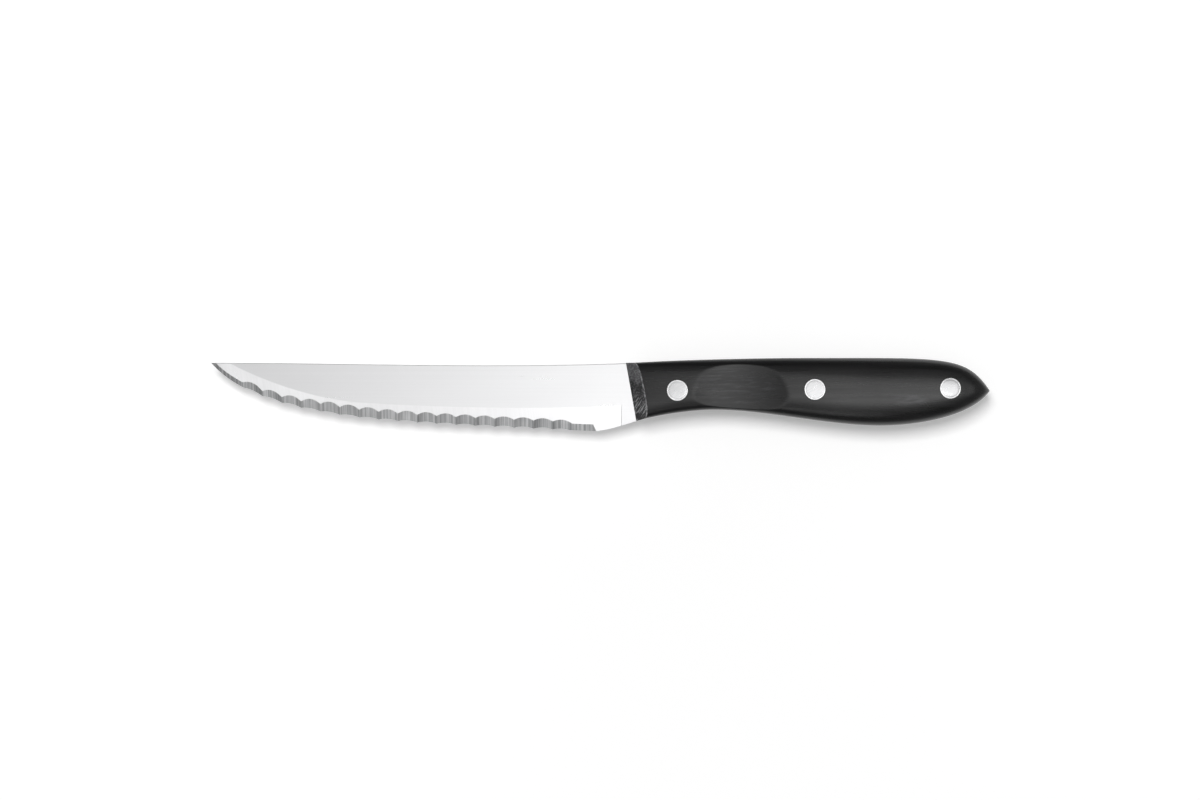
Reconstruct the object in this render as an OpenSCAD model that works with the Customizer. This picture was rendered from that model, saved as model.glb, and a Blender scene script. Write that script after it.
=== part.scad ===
// Steak knife: a stamped full-tang blade with a ground primary bevel and a
// fluted edge, two black handle scales and three two-piece rivets.
// It lies on its side: point towards -X, spine towards +Y, fluted face up.

/* [Blade] */
// Length of the blade, from the point to the handle's front at the spine
blade_length = 120; // [100:1:140]
// Depth of the blade, from the spine's level at the point down to the heel
blade_depth = 19.7; // [18.5:0.1:24]
// Thickness of the steel, blade and tang alike
steel_thickness = 1.8; // [1.4:0.1:2.5]
// Length from the heel of the edge to the handle's front at the spine
heel_setback = 9.5; // [6:0.5:14]

/* [Primary bevel] */
// Thickness that the bevel leaves at the heel's edge, before the flutes are ground
edge_thickness = 0.66; // [0.56:0.02:0.8]
// Thickness that it leaves at the point
point_thickness = 0.26; // [0.18:0.02:0.4]
// Length of flat steel between the bevel's end and the handle's front at the spine
plunge_setback = 1.3; // [0.6:0.1:3]
// Length over which the grinding wheel lifts out at the bevel's end
plunge_run = 0.3; // [0.2:0.1:2]

/* [Fluted edge] */
// Number of flutes
flute_count = 17; // [12:1:22]
// Radius of each flute, across its length
flute_radius = 20; // [17:0.5:30]
// Height of the ground band where two flutes meet
flute_height = 2.3; // [1.9:0.1:2.8]
// Height of that band at the point: of its plain land and of the first flute's start
point_height = 1.4; // [1.2:0.1:2.2]
// Angle between the flutes and the blade's plane
flute_angle = 19; // [17:0.5:23]
// Length of the plain ground land at the point
point_land = 9.25; // [8:0.05:14]
// Length of the plain ground land at the heel
heel_land = 6.1; // [4:0.1:10]
// Height of the plain land at the heel
land_height = 1.9; // [1.6:0.1:2.2]

/* [Handle] */
// Length of the handle, from its front at the spine to the point of the butt
handle_length = 105; // [90:1:125]
// Depth of the handle, from the crest of its back to the swell of its belly
handle_depth = 19.5; // [18:0.1:20.5]
// Height of the crest above the spine's level at the point
handle_rise = 1.4; // [0.8:0.1:2.4]
// Thickness of one scale at the swell
scale_thickness = 6.5; // [5.5:0.1:8]
// Lean of the handle's front line from square, in degrees
front_slant = 10; // [0:1:15]
// Angle between the ground front face of a scale and the blade's plane
front_chamfer = 51; // [40:1:70]

/* [Thumb scoop] */
// Radius of the wheel that grinds the scoop
scoop_radius = 86; // [60:1:110]
// Depth of the scoop below the scale's crown
scoop_depth = 1; // [0.6:0.1:1.4]
// Tilt of the wheel, which cuts deeper towards the belly, in degrees
scoop_tilt = 3; // [0:0.5:5]

/* [Rivets] */
// Diameter of the rivet heads
rivet_head_d = 6; // [5:0.1:7]
// Outer diameter of the female rivet's tube
rivet_tube_d = 4; // [3.4:0.1:4.4]
// Diameter of the male rivet's pin
rivet_pin_d = 2.6; // [2:0.1:3]
// Height of the heads' seats above the tang
rivet_seat = 2.6; // [2:0.1:3.2]
// Radial clearance between a rivet and its hole
rivet_fit = 0.05; // [0.02:0.01:0.1]

/* [Hidden] */
$fn = 96;
cut = 3; // overrun of every cutter

// Steps of the curves and of the skins
straight_steps = 6; // nearly straight curves
gentle_steps = 12;
round_steps = 24;
tight_steps = 40; // curves that turn round the butt
crown_steps = 20; // over one section of a scale
front_stations = 24; // sections from the front to the swell
butt_stations = 18; // sections from the swell to the butt
plunge_steps = 4;
fade_flutes = 4; // flutes over which the band rises from its height at the point

// Polish, bevel and flutes, ground into the flat blank
polish_depth = 0.03; // steel polished off each face of the blade, not off the tang
polish_margin = 0.3; // distance kept between that polish and the scales
half_steel = steel_thickness / 2;
half_blade = half_steel - polish_depth;
wall_lean = 60; // lean of the heel land's end wall, in degrees
flute_fn = 180; // facets of the large grinding wheels

// Rivet fits
pin_fit = 0.02; // radial clearance of the pin in its tube
head_proud = 0.04; // height by which the polished heads stand above the crown
tube_gap = 1; // gap between the tube's end and the male head
pin_gap = 0.5; // gap between the pin's end and the female head

// Control points of the blade's curves, as shares of its length from the point
// and of its depth below the spine's level there
spine_shares = [[0, 0], [0.334, 0.002], [0.664, 0.081]];
belly_shares = [[0, 0], [0.085, 0.598], [0.28, 0.765], [0.404, 0.836]];
edge_shares = [[0.404, 0.836], [0.528, 0.908], [0.771, 0.964]];
bevel_point_shares = [[0, -0.15], [0.1, 0.22], [0.235, 0.515], [0.349, 0.575]];
bevel_heel_shares = [[0.349, 0.575], [0.438, 0.622], [0.761, 0.71], [1, 0.62]];

// Control points of the handle's curves, as shares of its length from the front
// and of its depth below the crest
back_front_shares = [[0, 0.078], [0.119, 0.031], [0.36, 0], [0.4975, 0]];
back_butt_shares = [[0.4975, 0], [0.883, 0], [0.9325, -0.0435], [1, 0.485]];
neck_shares = [[0.0814, 0.843], [0.1814, 0.765], [0.2404, 0.765]];
palm_shares = [[0.2404, 0.765], [0.388, 0.765], [0.549, 1], [0.7, 1]];
belly_butt_shares = [[0.7, 1], [0.782, 1], [0.944, 0.897], [1, 0.485]];
front_bottom_share = 0.934;
choil_shares = [0.3, 0.75]; // run to each control point, of the heel to the handle
choil_rise_share = 0.68; // rise at the second one, of the same

// Crown of a scale: its height in shares of the thickness, along the handle
crown_front_shares = [[-0.02, 0.64], [0.13, 0.9], [0.4, 0.9], [0.7, 1]];
crown_butt_shares = [[0.7, 1], [0.8, 1], [0.92, 0.94], [1, 0.88]];
butt_round_share = 0.11; // length over which the butt rounds down to the tang
butt_power = 2.4; // power of that rounding
rim_shares = [0.5, 0.3]; // upright rim in the crown's height, at the front and from the swell on
section_powers = [3.3, 2.5]; // squareness of a section above that rim, at the same places
swell_share = 0.7; // place of the swell, where the stations change their spacing
scoop_share = 0.296; // middle of the scoop

// Rivet centres, as shares of the handle's length and depth
rivet_shares = [[0.14, 0.48], [0.516, 0.466], [0.887, 0.449]];
rivet_names = ["front", "middle", "rear"];

// Places in the knife's frame
point_x = -(blade_length + handle_length) / 2;
front_x = point_x + blade_length;
point_y = (blade_depth - handle_rise) / 2;
crest_y = point_y + handle_rise;
heel_x = front_x - heel_setback;
heel_y = point_y - blade_depth;
plunge_x = front_x - plunge_setback;
middle_z = half_steel + scale_thickness;
flute_pitch = (blade_length - heel_setback - point_land - heel_land) / flute_count;
flutes_x = point_x + point_land;
land_x = heel_x - heel_land;

// The point of a Bezier curve with control points p, at t from 0 to 1
function bezier_point(p, t) =
    len(p) == 1 ? p[0]
    : bezier_point([for (i = [0 : len(p) - 2]) p[i] * (1 - t) + p[i + 1] * t], t);
function bezier_curve(p, steps) = [for (i = [0 : steps]) bezier_point(p, i / steps)];
function without_first(list) = [for (i = [1 : len(list) - 1]) list[i]];
function reversed(list) = [for (i = [len(list) - 1 : -1 : 0]) list[i]];

// Shares turned into places
function on_blade(shares) =
    [for (s = shares) [point_x + s[0] * blade_length, point_y - s[1] * blade_depth]];
function on_handle(shares) =
    [for (s = shares) [front_x + s[0] * handle_length, crest_y - s[1] * handle_depth]];

// The handle's front line, from the spine down to the choil
front_top = on_handle([back_front_shares[0]])[0];
front_bottom_y = crest_y - front_bottom_share * handle_depth;
front_bottom = [front_x + (front_top[1] - front_bottom_y) * tan(front_slant), front_bottom_y];

// Outline curves
spine = bezier_curve(concat(on_blade(spine_shares), [front_top]), gentle_steps);
edge = concat(
    bezier_curve(on_blade(belly_shares), round_steps),
    without_first(bezier_curve(concat(on_blade(edge_shares), [[heel_x, heel_y]]), straight_steps)));
choil_reach = [front_bottom[0] - heel_x, front_bottom[1] - heel_y];
choil = bezier_curve([
    [heel_x, heel_y],
    [heel_x + choil_shares[0] * choil_reach[0], heel_y],
    [heel_x + choil_shares[1] * choil_reach[0], heel_y + choil_rise_share * choil_reach[1]],
    front_bottom], gentle_steps);
back = concat(
    bezier_curve(on_handle(back_front_shares), round_steps),
    without_first(bezier_curve(on_handle(back_butt_shares), tight_steps)));
belly = concat(
    bezier_curve(concat([front_bottom], on_handle(neck_shares)), gentle_steps),
    without_first(bezier_curve(on_handle(palm_shares), round_steps)),
    without_first(bezier_curve(on_handle(belly_butt_shares), tight_steps)));
crown = concat(
    bezier_curve(crown_front_shares, round_steps),
    without_first(bezier_curve(crown_butt_shares, gentle_steps)));

// The straight line through two points, at x
function line_at(a, b, x) = a[1] + (b[1] - a[1]) * (x - a[0]) / (b[0] - a[0]);
// The handle's back and belly at x, carried straight on ahead of its front
function back_at(x) = x < back[0][0] ? line_at(back[0], back[1], x) : lookup(x, back);
function belly_at(x) = x < belly[0][0] ? line_at(belly[0], belly[1], x) : lookup(x, belly);

// Stations along the handle, closer together towards the rounded butt
swell_x = front_x + swell_share * handle_length;
butt_x = front_x + handle_length;
handle_xs = concat(
    [for (i = [0 : front_stations])
        front_bottom[0] + (swell_x - front_bottom[0]) * i / front_stations],
    [for (i = [1 : butt_stations - 1])
        swell_x + (butt_x - swell_x) * sin(90 * i / butt_stations)]);

// Height of a scale's crown above the tang at x
function butt_rounding(q) = q >= 1 ? 1 : pow(1 - pow(1 - q, butt_power), 1 / butt_power);
function crown_at(x) =
    scale_thickness * lookup((x - front_x) / handle_length, crown)
    * butt_rounding((butt_x - x) / (butt_round_share * handle_length));

// The edge and the bevel's upper line at x; the edge runs straight on past the heel
function edge_at(x) =
    x > heel_x ? line_at(edge[len(edge) - 2], edge[len(edge) - 1], x) : lookup(x, edge);
bevel = concat(
    bezier_curve(on_blade(bevel_point_shares), round_steps),
    without_first(bezier_curve(on_blade(bevel_heel_shares), gentle_steps)));
// Half the thickness left at the edge, growing evenly from the point to the heel
function half_edge_at(x) =
    (point_thickness + (edge_thickness - point_thickness) * (x - point_x) / blade_length) / 2;
function bevel_slope_at(x) = (half_blade - half_edge_at(x)) / (lookup(x, bevel) - edge_at(x));

// Distance of the ground surface from the blade's middle plane, measured square to
// the flutes, where it leaves the bevel at height h above the edge
function grind_at(x, h) =
    cos(flute_angle) * (half_edge_at(x) + bevel_slope_at(x) * h)
    - sin(flute_angle) * (edge_at(x) + h);

// A closed skin over equal rings of points, each turning anticlockwise seen from +X.
// It ends in a flat cap, or in the one point that tip holds
module skin(rings, tip = []) {
    m = len(rings[0]);
    n = len(rings);
    sides = [
        for (i = [0 : n - 2], j = [0 : m - 1], half = [0, 1])
            let (
                a = i * m + j,
                b = i * m + (j + 1) % m,
                c = (i + 1) * m + (j + 1) % m,
                d = (i + 1) * m + j)
            half == 0 ? [a, d, c] : [a, c, b]];
    start = [[for (j = [0 : m - 1]) j]];
    end = len(tip) == 0
        ? [[for (j = [m - 1 : -1 : 0]) (n - 1) * m + j]]
        : [for (j = [0 : m - 1]) [(n - 1) * m + j, n * m, (n - 1) * m + (j + 1) % m]];
    polyhedron(concat([for (ring = rings) each ring], tip), concat(sides, start, end));
}

// The flat stamped blank, blade and full tang in one
module blank() {
    top = [for (x = handle_xs) [x, back_at(x)]];
    bottom = [for (x = handle_xs) if (x > front_bottom[0]) [x, belly_at(x)]];
    outline = concat(
        spine, top, [[butt_x, back_at(butt_x)]],
        reversed(bottom), reversed(without_first(choil)), reversed(without_first(edge)));
    translate([0, 0, -half_steel])
        linear_extrude(steel_thickness)
            polygon(outline);
}

// What polishing takes off the blade's upper face, ahead of the handle
module polish_cutter() {
    translate([front_top[0] - polish_margin, front_top[1], half_blade])
        rotate([0, 0, front_slant])
            translate([-2 * blade_length, -2 * blade_depth, 0])
                cube([2 * blade_length, 3 * blade_depth, cut]);
}

// What the wheel removes to leave the bevel on the upper face
module bevel_cutter() {
    lift_out = [for (i = [1 : plunge_steps]) i / plunge_steps];
    grind_xs = concat(
        [point_x - cut],
        [for (p = edge) p[0]],
        [plunge_x - plunge_run]);
    stations = concat(
        [for (x = grind_xs) [x, 0]],
        [for (q = lift_out) [plunge_x - plunge_run * (1 - q), 1 - sqrt(1 - q * q)]]);
    rings = [
        for (s = stations)
            let (
                low = edge_at(s[0]),
                high = lookup(s[0], bevel),
                thin = half_edge_at(s[0]),
                rest = thin + (half_blade - thin) * s[1],
                slope = (half_blade - rest) / (high - low))
            [
                [s[0], low - cut, rest - slope * cut],
                [s[0], high, half_blade],
                [s[0], high, half_blade + cut],
                [s[0], low - cut, half_blade + cut],
            ]];
    skin(rings);
}

// Turns a profile drawn in x and grinding depth so that it runs along the flutes
module along_flutes() {
    rotate([flute_angle - 90, 0, 0])
        children();
}

// Height of the ground band at cusp i: low at the point, level with the land at the heel
function cusp_height(i) =
    i == flute_count ? land_height
    : point_height + (flute_height - point_height) * pow(min(1, i / fade_flutes), 2);

// One flute: a round groove whose sides meet its neighbours' at the cusps
module flute(i) {
    x1 = flutes_x + i * flute_pitch;
    x2 = x1 + flute_pitch;
    a = [x1, grind_at(x1, cusp_height(i))];
    b = [x2, grind_at(x2, cusp_height(i + 1))];
    chord = b - a;
    rise = sqrt(flute_radius * flute_radius - chord * chord / 4);
    centre = (a + b) / 2 + [-chord[1], chord[0]] / norm(chord) * rise;
    along_flutes()
        translate([centre[0], -centre[1], -blade_depth])
            cylinder(r = flute_radius, h = 2 * blade_depth, $fn = flute_fn);
}

// A plain ground land of that height along the edge, with the lean of its end wall
module land(xs, height, lean = 0) {
    floor_line = [for (x = xs) [x, -grind_at(x, height)]];
    last = floor_line[len(floor_line) - 1];
    along_flutes()
        translate([0, 0, -blade_depth])
            linear_extrude(2 * blade_depth)
                polygon(concat(
                    floor_line,
                    [[last[0] + cut * tan(lean), last[1] - cut], [xs[0], last[1] - cut]]));
}

module ground_lands() {
    land(
        concat([for (p = edge) if (p[0] < flutes_x) p[0]], [flutes_x + flute_pitch / 2]),
        point_height);
    land([land_x - flute_pitch / 2, heel_x], land_height, wall_lean);
}

// Moves its children to the centre of one rivet
module at_rivet(i) {
    translate(on_handle([rivet_shares[i]])[0])
        children();
}

module blade() {
    color("gainsboro")
        translate([0, 0, middle_z])
            difference() {
                blank();
                for (side = [0, 1])
                    mirror([0, 0, side]) {
                        polish_cutter();
                        bevel_cutter();
                    }
                for (i = [0 : flute_count - 1])
                    flute(i);
                ground_lands();
                for (i = [0 : len(rivet_shares) - 1])
                    at_rivet(i)
                        cylinder(d = rivet_tube_d + 2 * rivet_fit, h = 2 * cut, center = true);
            }
}

// One section of a scale: flat on the tang, with upright rims and a squared oval over them
function section(x) =
    let (
        top = back_at(x),
        bottom = belly_at(x),
        high = crown_at(x),
        along = min(1, (x - front_x) / (swell_x - front_x)),
        mix = [1 - along, along],
        rim = rim_shares * mix,
        power = section_powers * mix)
    concat(
        [[x, top, 0]],
        [
            for (i = [0 : crown_steps])
                let (turn = 180 * i / crown_steps, c = cos(turn), s = max(0, sin(turn)))
                [
                    x,
                    (top + bottom) / 2 + (top - bottom) / 2 * sign(c) * pow(abs(c), 2 / power),
                    high * (rim + (1 - rim) * pow(s, 2 / power)),
                ]],
        [[x, bottom, 0]]);

// The crowned body of a scale, before its front and its scoop are ground
module crowned_body() {
    skin(
        [for (x = concat([front_x - cut, front_x], handle_xs)) section(x)],
        [[butt_x, back_at(butt_x), 0]]);
}

// What is ground off the front of a scale
module front_cutter() {
    translate([front_top[0], front_top[1], 0])
        rotate([0, 0, front_slant])
            rotate([0, 90 - front_chamfer, 0])
                translate([-2 * handle_depth, -2 * handle_depth, -2 * scale_thickness])
                    cube([2 * handle_depth, 3 * handle_depth, 4 * scale_thickness]);
}

// The round wheel that grinds the thumb scoop across the scale
module scoop_cutter() {
    x = front_x + scoop_share * handle_length;
    translate([x, (back_at(x) + belly_at(x)) / 2, crown_at(x) - scoop_depth])
        rotate([90 + scoop_tilt, 0, 0])
            translate([0, scoop_radius, 0])
                cylinder(r = scoop_radius, h = 3 * handle_depth, center = true, $fn = flute_fn);
}

// Stepped hole for a rivet: the tube below and the head above its seat
module rivet_hole() {
    translate([0, 0, -cut])
        cylinder(d = rivet_tube_d + 2 * rivet_fit, h = 2 * cut + rivet_seat);
    translate([0, 0, rivet_seat])
        cylinder(d = rivet_head_d + 2 * rivet_fit, h = scale_thickness + cut);
}

// A scale, with z = 0 on the face that lies on the tang
module scale_piece() {
    difference() {
        crowned_body();
        front_cutter();
        scoop_cutter();
        for (i = [0 : len(rivet_shares) - 1])
            at_rivet(i)
                rivet_hole();
    }
}

// Places a piece on the tang's upper face, or turned over on its lower face
module on_upper_face() {
    translate([0, 0, middle_z + half_steel])
        children();
}
module on_lower_face() {
    translate([0, 0, middle_z - half_steel])
        mirror([0, 0, 1])
            children();
}

module left_scale() {
    color("#1c1c1c")
        on_upper_face()
            scale_piece();
}
module right_scale() {
    color("#1c1c1c")
        on_lower_face()
            scale_piece();
}

// A rivet head in its seat, ground to the crown of the scale around it
module rivet_head(i) {
    intersection() {
        at_rivet(i)
            translate([0, 0, rivet_seat])
                cylinder(d = rivet_head_d, h = scale_thickness);
        translate([0, 0, head_proud])
            crowned_body();
    }
}

// The head and tube of a rivet, seen from the face that it is set into
module rivet_female(i) {
    color("silver")
        on_upper_face()
            difference() {
                union() {
                    rivet_head(i);
                    at_rivet(i)
                        translate([0, 0, tube_gap - steel_thickness - rivet_seat])
                            cylinder(
                                d = rivet_tube_d,
                                h = steel_thickness + 2 * rivet_seat - tube_gap);
                }
                at_rivet(i)
                    translate([0, 0, -cut - steel_thickness - rivet_seat])
                        cylinder(
                            d = rivet_pin_d + 2 * pin_fit,
                            h = cut + steel_thickness + 2 * rivet_seat);
            }
}

// The head and pin of a rivet
module rivet_male(i) {
    color("silver")
        on_lower_face()
            union() {
                rivet_head(i);
                at_rivet(i)
                    translate([0, 0, pin_gap - steel_thickness - rivet_seat])
                        cylinder(
                            d = rivet_pin_d,
                            h = steel_thickness + 2 * rivet_seat - pin_gap);
            }
}

blade();
left_scale();
right_scale();
for (i = [0 : len(rivet_names) - 1]) {
    rivet_female(i);
    rivet_male(i);
}
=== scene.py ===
import math

import bmesh
import bpy
import numpy as np
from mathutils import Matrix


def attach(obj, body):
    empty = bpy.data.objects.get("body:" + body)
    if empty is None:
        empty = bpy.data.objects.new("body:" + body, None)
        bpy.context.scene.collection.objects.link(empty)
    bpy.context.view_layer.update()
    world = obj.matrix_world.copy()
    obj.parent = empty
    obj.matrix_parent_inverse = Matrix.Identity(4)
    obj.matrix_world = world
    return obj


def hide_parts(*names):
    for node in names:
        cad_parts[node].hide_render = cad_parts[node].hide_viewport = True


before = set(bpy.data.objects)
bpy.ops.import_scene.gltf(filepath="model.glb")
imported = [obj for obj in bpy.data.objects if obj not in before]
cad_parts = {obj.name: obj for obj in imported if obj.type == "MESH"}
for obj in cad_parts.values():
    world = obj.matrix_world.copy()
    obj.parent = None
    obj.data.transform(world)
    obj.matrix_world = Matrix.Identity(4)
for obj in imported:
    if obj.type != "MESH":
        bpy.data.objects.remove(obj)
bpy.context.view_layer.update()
print("frame loaded:", ", ".join(sorted(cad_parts)))

# All shapes are worked out in millimetres, in the CAD's own frame, and turned
# to metres when a mesh is made. x runs to the butt, y to the spine, z upwards.
millimetre = 0.001

knife = {
    "bladeLength": 120.0,  # point to the handle's front, along the spine
    "bladeDepth": 19.7,    # spine level at the point, down to the heel
    "handleLength": 105.0,
    "handleDepth": 19.5,
    "handleRise": 1.4,     # crest of the back above the spine level
    "heelSetback": 9.5,
    "steel": 1.8,          # stock thickness
    "scale": 6.5,          # thickness of one scale at the swell
    "frontSlant": 10.0,    # lean of the handle's front line, degrees
}

pointX = -(knife["bladeLength"] + knife["handleLength"]) / 2
frontX = pointX + knife["bladeLength"]
buttX = frontX + knife["handleLength"]
pointY = (knife["bladeDepth"] - knife["handleRise"]) / 2
crestY = pointY + knife["handleRise"]
heelX = frontX - knife["heelSetback"]
heelY = pointY - knife["bladeDepth"]
middleZ = knife["steel"] / 2 + knife["scale"]
tanSlant = math.tan(math.radians(knife["frontSlant"]))


# Blade shares to places: x = point + share * length, y = point's level - share * depth.
def onBlade(shares):
    s = np.asarray(shares, float)
    x = pointX + s[:, 0] * knife["bladeLength"]
    return np.column_stack([x, pointY - s[:, 1] * knife["bladeDepth"]])


# Handle shares to places: x = front + share * length, y = crest - share * depth.
def onHandle(shares):
    s = np.asarray(shares, float)
    x = frontX + s[:, 0] * knife["handleLength"]
    return np.column_stack([x, crestY - s[:, 1] * knife["handleDepth"]])


# Bezier curve: neighbouring control points are blended by 1 - t and t, again and again,
# until one is left.
def bezier(points, count=400):
    t = np.linspace(0, 1, count)[:, None]
    rows = [np.broadcast_to(p, (count, len(p))) for p in np.asarray(points, float)]
    while len(rows) > 1:
        rows = [a * (1 - t) + b * t for a, b in zip(rows, rows[1:])]
    return rows[0]


# y of a curve at x, straight between its points and carried straight on past both ends.
def heightAt(x, curve):
    x = np.asarray(x, float)
    y = np.interp(x, curve[:, 0], curve[:, 1])
    startSlope = (curve[1, 1] - curve[0, 1]) / (curve[1, 0] - curve[0, 0])
    endSlope = (curve[-1, 1] - curve[-2, 1]) / (curve[-1, 0] - curve[-2, 0])
    y = np.where(x < curve[0, 0], curve[0, 1] + (x - curve[0, 0]) * startSlope, y)
    return np.where(x > curve[-1, 0], curve[-1, 1] + (x - curve[-1, 0]) * endSlope, y)


# Control points of the outlines, as shares.
spineShares = [[0, 0], [0.334, 0.002], [0.664, 0.081]]
tipShares = [[0, 0], [0.085, 0.598], [0.28, 0.765], [0.404, 0.836]]
edgeShares = [[0.404, 0.836], [0.528, 0.908], [0.771, 0.964]]
bevelTipShares = [[0, -0.15], [0.1, 0.22], [0.235, 0.515], [0.349, 0.575]]
bevelShares = [[0.349, 0.575], [0.438, 0.622], [0.761, 0.71], [1, 0.62]]
choilShares = [[0.3, 0], [0.75, 0.68]]  # of the way from the heel to the handle's front
backShares = [[0, 0.078], [0.119, 0.031], [0.36, 0], [0.4975, 0]]
backButtShares = [[0.4975, 0], [0.883, 0], [0.9325, -0.0435], [1, 0.485]]
neckShares = [[0.0814, 0.843], [0.1814, 0.765], [0.2404, 0.765]]
palmShares = [[0.2404, 0.765], [0.388, 0.765], [0.549, 1], [0.7, 1]]
bellyButtShares = [[0.7, 1], [0.782, 1], [0.944, 0.897], [1, 0.485]]
frontBottomShare = 0.934

frontTop = onHandle(backShares)[0]
frontBottomY = crestY - frontBottomShare * knife["handleDepth"]
frontBottom = np.array([frontX + (frontTop[1] - frontBottomY) * tanSlant, frontBottomY])

back = np.vstack([bezier(onHandle(backShares)), bezier(onHandle(backButtShares))[1:]])
belly = np.vstack([
    bezier(np.vstack([frontBottom, onHandle(neckShares)])),
    bezier(onHandle(palmShares))[1:],
    bezier(onHandle(bellyButtShares))[1:],
])
spine = bezier(np.vstack([onBlade(spineShares), frontTop]))
heel = np.array([heelX, heelY])
edge = np.vstack([bezier(onBlade(tipShares)), bezier(np.vstack([onBlade(edgeShares), heel]))[1:]])
choil = bezier(np.vstack([heel, heel + choilShares * (frontBottom - heel), frontBottom]))
bevelLine = np.vstack([bezier(onBlade(bevelTipShares)), bezier(onBlade(bevelShares))[1:]])


# x of the handle's slanted front line at height y: front + (top - y) * tan slant.
def frontLineX(y):
    return frontX + (frontTop[1] - y) * tanSlant


weldDistance = 0.002   # mm, under which border points are one
sliverLength = 0.0005  # mm, under which an edge is dropped


# One closed mesh from grids of points that share their borders.
# patches holds (points, slot): points is an array (rows, columns, 3) and the four
# corners of each cell make a face. Borders are merged, open rims are closed flat.
def sewPatches(name, patches, creaseAngle, materials):
    points, faces, slots, start = [], [], [], 0
    for grid, slot in patches:
        rows, columns = grid.shape[:2]
        corner = (start + np.arange(rows - 1)[:, None] * columns + np.arange(columns - 1)).ravel()
        faces.append(np.column_stack([corner, corner + 1, corner + columns + 1, corner + columns]))
        slots.append(np.broadcast_to(slot, len(corner)))
        points.append(grid.reshape(-1, 3))
        start += rows * columns
    mesh = bpy.data.meshes.new(name)
    mesh.from_pydata(np.vstack(points).tolist(), [], np.vstack(faces).tolist())
    mesh.polygons.foreach_set("material_index", np.concatenate(slots).astype(np.int32))
    work = bmesh.new()
    work.from_mesh(mesh)
    bmesh.ops.remove_doubles(work, verts=work.verts, dist=weldDistance)
    bmesh.ops.dissolve_degenerate(work, edges=work.edges, dist=sliverLength)
    rim = [e for e in work.edges if e.is_boundary]
    bmesh.ops.holes_fill(work, edges=rim, sides=0)
    bmesh.ops.recalc_face_normals(work, faces=work.faces)
    bmesh.ops.scale(work, vec=(millimetre,) * 3, verts=work.verts)
    openEdges = sum(1 for e in work.edges if not e.is_manifold)
    work.to_mesh(mesh)
    work.free()
    for material in materials:
        mesh.materials.append(material)
    piece = bpy.data.objects.new(name, mesh)
    bpy.context.collection.objects.link(piece)
    smoothShade(mesh, creaseAngle)
    print(f"{name}: {len(mesh.polygons)} faces, {openEdges} open edges")
    return piece


# Smooth faces, crisp where two of them meet at more than the crease angle in degrees.
def smoothShade(mesh, creaseAngle):
    mesh.polygons.foreach_set("use_smooth", np.ones(len(mesh.polygons), bool))
    mesh.set_sharp_from_angle(angle=math.radians(creaseAngle))
    mesh.update()


# sRGB hex to linear RGBA: ((c + 0.055) / 1.055) ^ 2.4 above the toe.
def linear(hexColour):
    rgb = [int(hexColour[i:i + 2], 16) / 255 for i in (1, 3, 5)]
    return tuple(c / 12.92 if c <= 0.04045 else ((c + 0.055) / 1.055) ** 2.4 for c in rgb) + (1.0,)


# A node of that kind: settings go to its properties or inputs, links join outputs to its inputs.
def addNode(tree, kind, settings=None, links=None):
    node = tree.nodes.new(kind)
    for key, value in (settings or {}).items():
        if hasattr(node, str(key)) and key not in node.inputs:
            setattr(node, key, value)
        else:
            node.inputs[key].default_value = value
    for key, output in (links or {}).items():
        tree.links.new(output, node.inputs[key])
    return node


def newMaterial(name):
    material = bpy.data.materials.new(name)
    material.use_nodes = True
    material.node_tree.nodes.clear()
    return material, material.node_tree


# Colour stops of a ramp: (position, hex).
def setRamp(ramp, stops):
    elements = ramp.color_ramp.elements
    while len(elements) < len(stops):
        elements.new(0.5)
    for element, (position, hexColour) in zip(elements, stops):
        element.position = position
        element.color = linear(hexColour)


# The camera stands straight above the middle of the photograph, whose 1200 px
# take in 347.1 mm at the blade's plane.
cameraSettings = {
    "lens": 100.0,
    "sensor": 36.0,
    "frameWidth": 347.1,
    "aim": (-0.03, -1.58),
    "clip": (0.01, 20),  # metres
}


def placeCamera():
    data = bpy.data.cameras.new("camera")
    data.lens = cameraSettings["lens"]
    data.sensor_width = cameraSettings["sensor"]
    data.clip_start, data.clip_end = cameraSettings["clip"]
    camera = bpy.data.objects.new("camera", data)
    bpy.context.collection.objects.link(camera)
    distance = cameraSettings["frameWidth"] * data.lens / data.sensor_width
    aimX, aimY = cameraSettings["aim"]
    camera.location = (aimX * millimetre, aimY * millimetre, (middleZ + distance) * millimetre)
    bpy.context.scene.camera = camera


placeCamera()
bpy.context.scene.view_settings.view_transform = "Standard"
print("camera placed")

# Lamps over the knife, places and sizes in metres, turned by degrees. The key throws the
# shadow towards the edge and the veil fills it. The others are only what steel and resin
# mirror: scrim, middle, patch and end in the flat and the crowns, wing in the bevel, low
# in the flutes.
lamps = {
    "key": {"place": (-0.10, 0.315, 1.15), "size": (0.36, 0.43), "turn": 0, "power": 10.1},
    "veil": {"place": (0.0, 0.3, 4.0), "size": (5.6, 6.0), "turn": 0, "power": 22.0},
    "scrim": {"place": (0.31, -0.02, 3.95), "size": (2.06, 2.0), "turn": -17, "power": 9.4},
    "middle": {"place": (0.43, -0.02, 3.9), "size": (0.95, 1.9), "turn": -17, "power": 4.1},
    "patch": {"place": (0.8, -0.5, 3.85), "size": (1.4, 0.5), "turn": 0, "power": 4.4},
    "end": {"place": (2.7, -0.2, 3.82), "size": (1.4, 1.6), "turn": 0, "power": 6.3},
    "wing": {"place": (-1.32, -1.4, 3.8), "size": (2.15, 1.2), "turn": 0, "power": 9.0},
    "low": {"place": (-0.64, -3.25, 3.9), "size": (1.4, 1.5), "turn": 0, "power": 12.2},
}
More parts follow.
